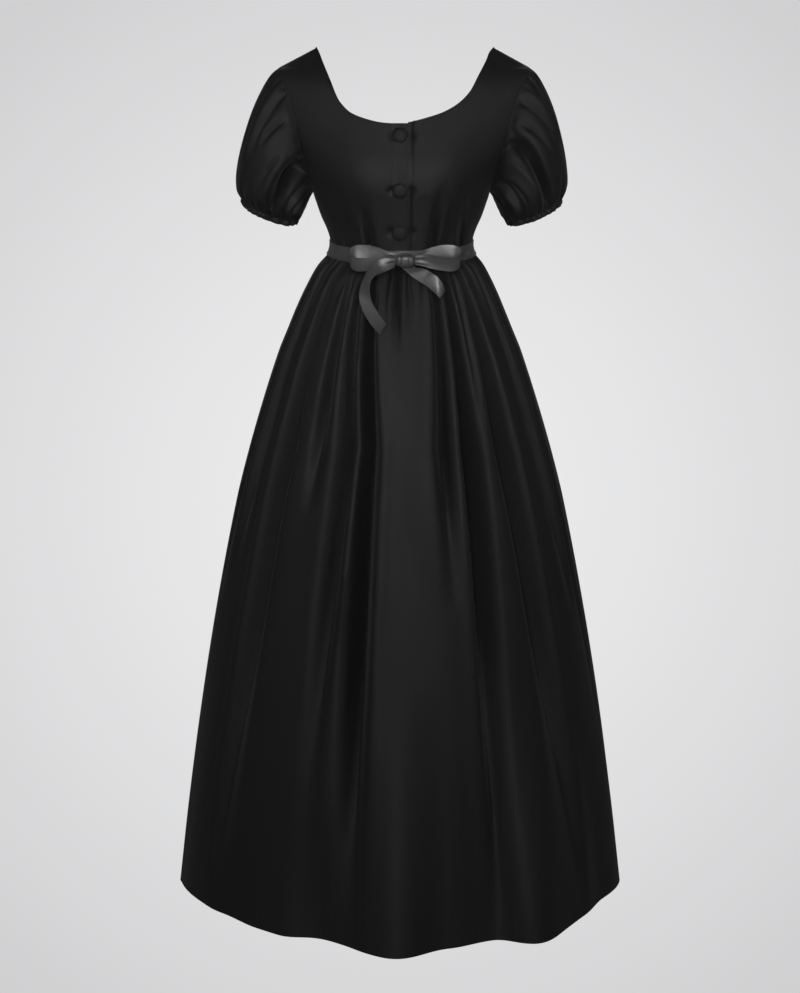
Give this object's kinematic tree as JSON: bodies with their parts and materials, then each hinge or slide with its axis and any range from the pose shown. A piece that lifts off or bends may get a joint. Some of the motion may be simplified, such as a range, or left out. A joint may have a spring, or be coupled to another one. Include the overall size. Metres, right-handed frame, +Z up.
{
  "type": "maxi dress",
  "caption": "Empire-waist maxi dress with a scoop neck, gathered puff sleeves, covered buttons and a ribbon tied in a bow, standing open as when worn.",
  "frame": {"origin": "midway between the two shoulder seams, at half the height between neck point and shoulder tip, where the wearer's shoulders carry the dress", "axes": "+Z up, from hem to shoulders; the front faces -Y; +X is the wearer's left"},
  "size_m": [0.761, 0.6602, 1.418],
  "materials": {
    "dress_cloth": "soft matt black with a faint lustre, satin-backed crepe",
    "button_cloth": "matt black, the same crepe stretched over a domed button",
    "ribbon_satin": "dark grey satin ribbon"
  },
  "bodies": {
    "root": {"bodice_front_right": "dress_cloth", "bodice_front_left": "dress_cloth", "bodice_back": "dress_cloth", "button_placket": "dress_cloth", "button_top": "button_cloth", "button_middle": "button_cloth", "button_bottom": "button_cloth", "sleeve_right": "dress_cloth", "cuff_right": "dress_cloth", "sleeve_left": "dress_cloth", "cuff_left": "dress_cloth", "skirt_front": "dress_cloth", "skirt_back": "dress_cloth", "ribbon_belt": "ribbon_satin", "bow_knot": "ribbon_satin", "bow_loop_right": "ribbon_satin", "bow_loop_left": "ribbon_satin", "bow_tail_right": "ribbon_satin", "bow_tail_left": "ribbon_satin"}
  },
  "joints": []
}
